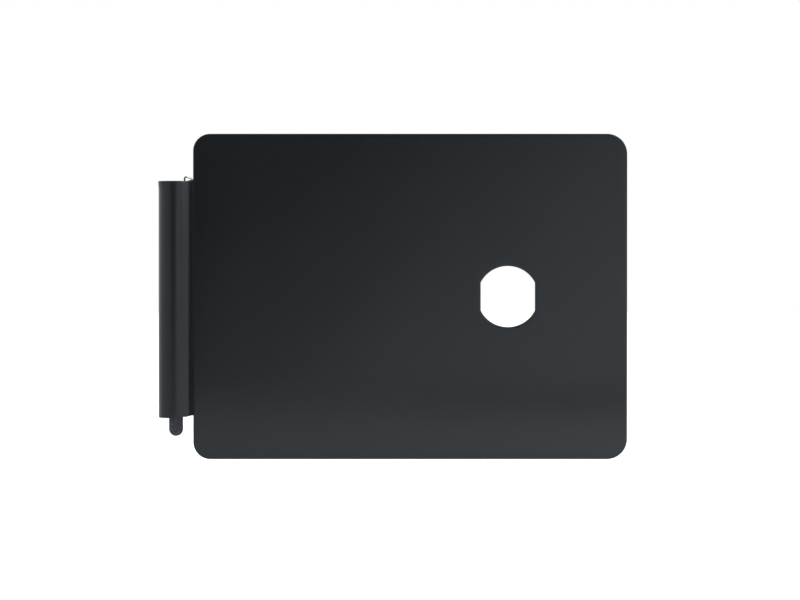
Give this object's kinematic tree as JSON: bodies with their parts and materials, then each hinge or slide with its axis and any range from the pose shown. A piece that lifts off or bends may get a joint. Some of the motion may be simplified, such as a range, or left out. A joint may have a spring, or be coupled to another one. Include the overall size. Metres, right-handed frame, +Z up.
{
  "type": "sprung hinged flap plate",
  "caption": "Flat rounded rectangular steel flap with a rolled hinge knuckle on one edge, a keyed sprung spindle, a return spring and a double-D lock cut-out.",
  "frame": {"origin": "on the hinge axis at the knuckle's lower end, where the tang leaves it", "axes": "+Z up along the hinge axis, +X from the knuckle to the plate's free edge, -Y out of the front, the side the knuckle bulges from"},
  "size_m": [0.1724, 0.0126, 0.12],
  "materials": {
    "coated_sheet": "satin black powder coat",
    "spindle_steel": "blackened steel",
    "spring_steel": "oiled spring wire",
    "bush_nylon": "matte",
    "washer_steel": "zinc plated"
  },
  "bodies": {
    "spindle": {"spindle": "spindle_steel"},
    "bush": {"keyed_bush": "bush_nylon", "thrust_washer": "washer_steel"},
    "flap": {"kick_plate": "coated_sheet", "top_bush": "bush_nylon", "torsion_spring": "spring_steel", "plunger_spring": "spring_steel"}
  },
  "joints": [
    {"name": "spindle_press", "type": "slide", "parent": "spindle", "child": "bush", "axis": [0, 0, -1], "range_m": [0, 0.0065], "stiffness_N_per_m": 450, "springref_m": -0.015, "deforming": ["plunger_spring"]},
    {"name": "flap_swing", "type": "hinge", "parent": "bush", "child": "flap", "pos_m": [0, 0, 0], "axis": [0, 0, -1], "range_deg": [0, 110], "stiffness_Nm_per_rad": 0.003, "springref_deg": -177.62, "deforming": ["torsion_spring"]}
  ]
}
